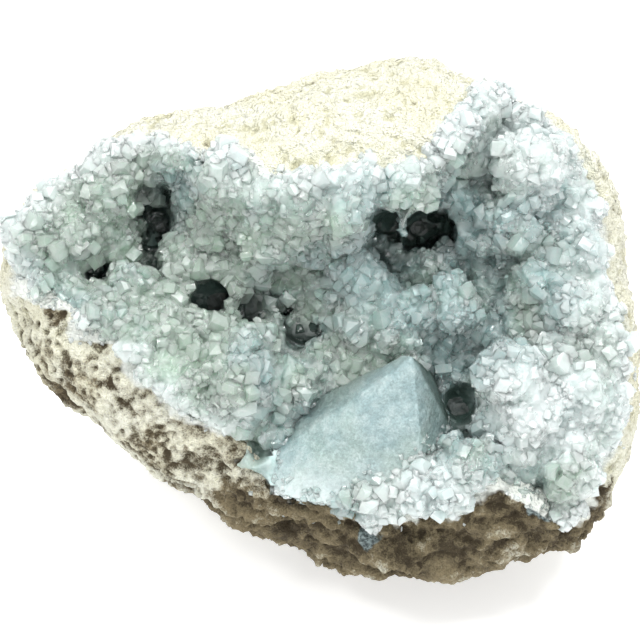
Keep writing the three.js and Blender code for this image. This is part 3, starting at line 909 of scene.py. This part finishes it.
class GEODE_OT_crystals(bpy.types.Operator):
    """Grows crystals on the bed, and melts neighbours into one another"""

    bl_idname = "geode.crystals"
    bl_label = "Crystals"

    PATCHES = 5
    LARGE_TRIES = 8000
    MAIN_TRIES = 60000
    SPILL_TRIES = 60000
    FOOT_TRIES = 20000

    def execute(self, context):
        settings = context.scene.geode_crystal
        bed = bpy.data.objects["crystal_bed"]
        rng = np.random.default_rng(settings.seed)
        colours = tuple(settings.body_colour)
        material = celestite(
            settings, "milky_crystal", colours, settings.clearness, settings.milkiness, 0.25, 650
        )
        large, main = settings.large_width / MM, settings.main_width / MM
        large_places, large_normals = self.roots(bed, rng, self.LARGE_TRIES, large, 1.7 * large)
        places, normals = self.roots(bed, rng, self.MAIN_TRIES, main, 0.5 * main)
        spill_places, spill_normals = self.spilled_roots(rng, 0.5 * main)
        foot_places, foot_normals = self.foot_roots(rng, 0.5 * main)
        places = np.concatenate((places, spill_places, foot_places))
        normals = np.concatenate((normals, spill_normals, foot_normals))
        edges = np.quantile(places[:, 0], np.linspace(0, 1, self.PATCHES + 1))
        edges[0], edges[-1] = -99, 99
        tree = tree_of(bed.data, in_face(places_of(bed.data)))
        grown = []
        for patch in range(self.PATCHES):
            low, high = edges[patch], edges[patch + 1]
            name = f"crystals_{patch + 1}"
            here = (large_places[:, 0] >= low) & (large_places[:, 0] < high)
            wide = grown_from("wide", rng, large_places[here], large_normals[here], large, (0.25, 0.55), 0.5)
            here = (places[:, 0] >= low) & (places[:, 0] < high)
            obj = grown_from(name, rng, places[here], normals[here], main, (0.35, 0.8), 0.5)
            wide.select_set(True)
            bpy.ops.object.join()
            modify(obj, "REMESH", mode="VOXEL", voxel_size=settings.grown_voxel)
            set_places(obj.data, in_room(drawn_back(in_face(places_of(obj.data)), 0.9, 1.3)))
            bpy.ops.object.shade_flat()
            print(name, here.sum(), "crystals,", triangles_of(obj), "triangles")
            grown.append(finished(obj, material))
        make_survey(*grown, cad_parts["matrix_rock"])
        tints = rng.random(len(places))
        for obj in grown:
            self.mark(obj, tree, places, tints)
        return {"FINISHED"}

    def roots(self, bed, rng, tries, width, spacing):
        """Places on the open side of the bed, clear of the great crystal, with their normals."""
        places, normals = surface_points(bed.data, tries, rng)
        open_side = normals[:, 2] > -0.3
        in_view = places[:, 2] > height_at(places[:, 0], places[:, 1]) - 6
        clear = (beyond_great(places) > 0.15 * width) & (in_patches(BARE, places) < 0.25)
        return spaced(places, normals, open_side & in_view & clear, spacing)

    def spilled_roots(self, rng, spacing):
        """Places on the rock below the rim where the crystals spill over it, with their normals."""
        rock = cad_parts["matrix_rock"]
        places, normals = surface_points(rock.data, self.SPILL_TRIES, rng)
        spilled = (in_patches(SPILLED, places) > 0.5) & (places[:, 2] > -13)
        return spaced(places, normals, spilled, spacing)

    def foot_roots(self, rng, spacing):
        """Places along the ragged lower edge of the great crystal, with their normals."""
        great = bpy.data.objects["great_crystal"]
        places, normals = surface_points(great.data, self.FOOT_TRIES, rng)
        away = from_line(places[:, :2], [c[:2] for c in GREAT_FOOT])
        near = away + 4 * noise_at(places, 5) < 0.6
        return spaced(places, normals, near & (places[:, 2] > -7) & (places[:, 0] > 4), spacing)

    def mark(self, obj, bed_tree, roots, tints):
        """Gives each crystal of a joined skin its own tint, and keeps how far it rises from the bed."""
        nearest = KDTree(len(roots))
        for i, root in enumerate(roots):
            nearest.insert(root, i)
        nearest.balance()
        face = in_face(places_of(obj.data))
        tint = np.array([tints[nearest.find(p)[1]] for p in face])
        away = np.array([bed_tree.find_nearest(Vector(p))[3] for p in face])
        marks(obj.data, face, tint, smooth_step(0, 2.2, away), 1)


class GEODE_OT_sugar(bpy.types.Operator):
    """Sets sharp blocky crystals on the skin, and scatters small ones on it and along the rim"""

    bl_idname = "geode.sugar"
    bl_label = "Sharp crystals"

    BLOCK_TRIES = 9000
    SMALL_TRIES = 14000
    ROCK_TRIES = 160000
    GREAT_TRIES = 40000

    def execute(self, context):
        settings = context.scene.geode_crystal
        rng = np.random.default_rng(settings.seed + 1)
        body = tuple(settings.body_colour)
        skins = [f"crystals_{k + 1}" for k in range(GEODE_OT_crystals.PATCHES)]
        blocky = celestite(
            settings, "blocky_crystal", body, settings.clearness, settings.milkiness, 0.1, 900, 0.3
        )
        surfaces = [(name, self.BLOCK_TRIES, self.share_of_blocks) for name in skins]
        width = settings.block_width / MM
        self.scatter("blocky_crystals", rng, surfaces, width, 0.85, (0.1, 0.45), 0.35, blocky)
        light = toned(body, 1.05, 1.05, 1.05)
        sugary = celestite(settings, "sugary_crystal", light, 0.6, settings.milkiness, 0.12, 1500)
        surfaces = [(name, self.SMALL_TRIES, self.share_on_clumps) for name in skins]
        surfaces.append(("rock", self.ROCK_TRIES, self.share_on_rock))
        surfaces.append(("great_crystal", self.GREAT_TRIES, self.share_on_foot))
        width = settings.small_width / MM
        self.scatter("small_crystals", rng, surfaces, width, 0.7, (0.15, 0.5), 0.3, sugary)
        return {"FINISHED"}

    def scatter(self, name, rng, surfaces, width, spacing, stands, spread, material):
        """One piece of crystals on some surfaces, each with its number of tries and its share."""
        places, normals = [], []
        for surface, tries, share in surfaces:
            some, directions = surface_points(bpy.data.objects[surface].data, tries, rng)
            kept = rng.random(len(some)) < share(some) * (directions[:, 2] > -0.4)
            places.append(some[kept])
            normals.append(directions[kept])
        places, normals = np.concatenate(places), np.concatenate(normals)
        kept = thinned(places, spacing * width)
        obj = grown_from(name, rng, places[kept], normals[kept], width, stands, 0.5, spread)
        print(name, len(kept), "crystals,", triangles_of(obj), "triangles")
        finished(obj, material)

    def ragged(self, places, span):
        return 0.5 + noise_at(places, span)

    def share_of_blocks(self, places):
        """In patches, and on the high parts of the clumps."""
        patch = 0.08 + 0.6 * smooth_step(0.4, 0.7, self.ragged(places, 8))
        return patch * smooth_step(0.3, 0.6, openness(places)) * (1 - in_patches(BARE, places))

    def share_on_rock(self, places):
        """Thick at the rim, gone a few millimetres beyond it."""
        beyond = -from_rim(places) - 6 * (self.ragged(places, 4) - 0.5)
        near = 1 - smooth_step(-0.5, 2.5, beyond)
        return 0.12 * near * (places[:, 2] > -14) * (1 - in_patches(BARE, places))

    def share_on_foot(self, places):
        """Thick along the lower edge of the great crystal."""
        away = from_line(places[:, :2], [c[:2] for c in GREAT_FOOT])
        return 0.05 * (1 - smooth_step(0.5, 5, away + 3 * (self.ragged(places, 4) - 0.5)))

    def share_on_clumps(self, places):
        """All over the crystals, thicker in patches."""
        thick = 0.04 + 0.96 * smooth_step(0.55, 0.8, self.ragged(places, 6))
        return 0.25 * thick * smooth_step(0.3, 0.6, openness(places))


class GEODE_OT_great_crystal(bpy.types.Operator):
    """Builds the great bladed crystal in the lower middle of the hollow"""

    bl_idname = "geode.great_crystal"
    bl_label = "Great crystal"

    def execute(self, context):
        corners = in_room(GREAT_FRONT + GREAT_SLOPE + GREAT_SIDE + GREAT_ROOT)
        mesh = bpy.data.meshes.new("great_crystal")
        mesh.from_pydata([tuple(c) for c in corners], [], [])
        obj = bpy.data.objects.new("great_crystal", mesh)
        context.scene.collection.objects.link(obj)
        only(obj)
        bpy.ops.object.mode_set(mode="EDIT")
        bpy.ops.mesh.select_all(action="SELECT")
        bpy.ops.mesh.convex_hull()
        bpy.ops.mesh.select_all(action="SELECT")
        bpy.ops.mesh.normals_make_consistent(inside=False)
        bpy.ops.object.mode_set(mode="OBJECT")
        modify(obj, "REMESH", mode="VOXEL", voxel_size=0.55 * MM)
        face = in_face(places_of(obj.data))
        normals = normals_of(obj.data) @ FACE_AXES.T
        rough = noise_at(face, 5) + 0.5 * noise_at(face, 2)
        face = face + normals * (0.3 * rough)[:, None]
        set_places(obj.data, in_room(face))
        # Painted shade: the steep side and the slope facing up the face get less openness, so they turn
        # darker.
        steep = smooth_step(0.3, 0.7, normals[:, 0])
        slope = smooth_step(0.1, 0.5, normals[:, 1])
        marks(obj.data, face, 0.5, 0.5 + 0.5 * rough, (1 - 0.5 * steep) * (1 - 0.45 * slope))
        keep_number(obj.data, "ice_and_light", 0.7 * smooth_step(-28, -41, face[:, 1] + 3 * rough))
        only(obj)
        bpy.ops.object.shade_smooth()
        settings = context.scene.geode_crystal
        colours = tuple(settings.great_colour)
        material = celestite(settings, "great_celestite", colours, 0.2, 0.5, 0.35, 2200)
        finished(obj, material)
        print("great crystal", triangles_of(obj), "triangles")
        return {"FINISHED"}


class GEODE_OT_rock(bpy.types.Operator):
    """Builds the pitted, layered rock round the hollow"""

    bl_idname = "geode.rock"
    bl_label = "Rock"

    def execute(self, context):
        settings = context.scene.geode_rock
        obj = copy_of_node("matrix_rock", "rock")
        modify(obj, "REMESH", mode="VOXEL", voxel_size=settings.voxel)
        modify(obj, "SMOOTH", factor=0.5, iterations=2)
        co = places_of(obj.data)
        face = in_face(co)
        inward = self.in_the_bowl(face)
        self.thin_the_bowl(obj, inward)
        co = places_of(obj.data)
        face = in_face(co)
        outside = 1 - self.in_the_bowl(face)
        across, up, out_of = face.T
        layered = smooth_step(-20, -42, up + 0.1 * np.abs(across)) * smooth_step(-62, -30, out_of)
        mottled = smooth_step(15, -15, up) * smooth_step(62, 30, across)
        brown = in_patches([(-59.5, 2, 3, 5, 1.0)], face)
        out, pit, raised = self.relief(face, layered, settings)
        weight = outside * smooth_step(0.0, 4.0, co[:, 2] / MM)
        # The raised share paints lumps lighter and hollows darker in the rock's colour.
        keep_number(obj.data, "raised", raised)
        moved = co + normals_of(obj.data) * (out * weight)[:, None] * MM
        moved[:, 2] = np.maximum(moved[:, 2], 0)
        set_places(obj.data, moved)
        keep_number(obj.data, "pit", pit * weight)
        keep_number(obj.data, "earth", np.maximum(np.maximum(layered, 0.55 * mottled), 0.7 * brown))
        keep_number(obj.data, "vein", in_patches(VEINS, wobbled(face, 4, 4)) * (out_of > -26))
        beyond = np.where(out_of > -16, -from_rim(face), 50)
        bare = smooth_step(0, 0.3, in_patches(BARE, face))
        keep_number(obj.data, "white", (1 - smooth_step(0, 4, beyond)) * (1 - 0.7 * bare))
        only(obj)
        bpy.ops.object.shade_smooth()
        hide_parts("matrix_rock")
        finished(obj, weathered_rock(settings))
        print("rock", triangles_of(obj), "triangles")
        return {"FINISHED"}

    def in_the_bowl(self, face):
        """1 for the hidden wall of the bowl under the crust, else 0."""
        crust_over = height_at(face[:, 0], face[:, 1]) > face[:, 2] + 1.0
        return (crust_over & (from_rim(face) > 0) & (face[:, 2] > -36)).astype(float)

    def thin_the_bowl(self, obj, inward):
        group = obj.vertex_groups.new(name="bowl")
        group.add([int(i) for i in np.flatnonzero(inward)], 1.0, "REPLACE")
        share = float(inward.mean())
        modify(
            obj, "DECIMATE", ratio=1 - 0.9 * share, vertex_group="bowl", vertex_group_factor=1000.0
        )
        obj.vertex_groups.clear()

    def relief(self, face, layered, settings):
        """How far each point moves out, in millimetres, and how deep in a pit and how raised it is, 0 to 1.
        The raised share paints highlight and shade into the rock's colour.
        """
        out, pit, raised = np.empty((3, len(face)))
        depth, ledge = settings.pit_depth / MM, settings.ledge_height / MM
        for i, (u, v, w) in enumerate(face):
            p = Vector((u, v, w))
            broad = noise.noise(p / 12)
            middle = noise.noise(p / 5 + Vector((3, 8, 1)))
            small = noise.noise(p / 2.4 + Vector((5, 1, 7)))
            crumbly = noise.noise(p / 1.3 + Vector((2, 6, 4)))
            layer = noise.noise(Vector((u / 20, (v + 0.22 * u) / 3.6, (w - 0.1 * u) / 6)))
            step = ledge * layered[i] * (1.6 * abs(layer) - 0.4)
            worn = 0.5 + 0.9 * noise.noise(p / 17 + Vector((9, 4, 2)))
            on_side = 1 - smooth_step(-16, -4, w)
            hollow = max(0.0, -(0.9 * middle + 0.7 * small + 0.5 * broad) - 0.2) * (0.2 + worn)
            hollow = min(1.0, 2.0 * hollow * (0.15 + 0.85 * on_side))
            lumpy = 0.6 + 0.45 * layered[i]
            jagged = 0.5 - abs(small) * 2.2
            lumps = broad + 0.9 * lumpy * middle + 0.8 * lumpy * jagged + 0.8 * crumbly
            out[i] = lumps + step - depth * hollow
            pit[i] = min(1.0, hollow + max(0.0, -0.8 * crumbly - 0.1) * on_side)
            raised[i] = 0.5 + 0.5 * middle + 0.4 * jagged + 0.3 * crumbly + 0.3 * step
        return out, pit, np.clip(raised, 0, 1)


PIECES = [
    GEODE_OT_stage,
    GEODE_OT_bed,
    GEODE_OT_great_crystal,
    GEODE_OT_crystals,
    GEODE_OT_rock,
    GEODE_OT_sugar,
]


class GEODE_PT_panel(bpy.types.Panel):
    """Lists the steps that build the geode"""

    bl_idname = "GEODE_PT_panel"
    bl_label = "Celestite geode"
    bl_space_type = "VIEW_3D"
    bl_region_type = "UI"
    bl_category = "Geode"

    def draw(self, context):
        for operator in PIECES:
            self.layout.operator(operator.bl_idname)
        for group_name in GROUPS:
            group = getattr(context.scene, group_name)
            box = self.layout.box()
            for name in group.__annotations__:
                box.prop(group, name)


GROUPS = {"geode_rock": GEODE_PG_rock, "geode_crystal": GEODE_PG_crystal, "geode_light": GEODE_PG_light}
CLASSES = [*GROUPS.values(), *PIECES, GEODE_PT_panel]


def register():
    for cls in CLASSES:
        bpy.utils.register_class(cls)
    for name, group in GROUPS.items():
        setattr(bpy.types.Scene, name, PointerProperty(type=group))


def unregister():
    for name in GROUPS:
        delattr(bpy.types.Scene, name)
    for cls in reversed(CLASSES):
        bpy.utils.unregister_class(cls)


def main():
    register()
    noise.seed_set(NOISE_SEED)
    bpy.ops.geode.stage()
    bpy.ops.geode.bed()
    bpy.ops.geode.great_crystal()
    bpy.ops.geode.crystals()
    bpy.ops.geode.rock()
    bpy.ops.geode.sugar()
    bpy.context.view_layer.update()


if __name__ == "__main__":
    main()
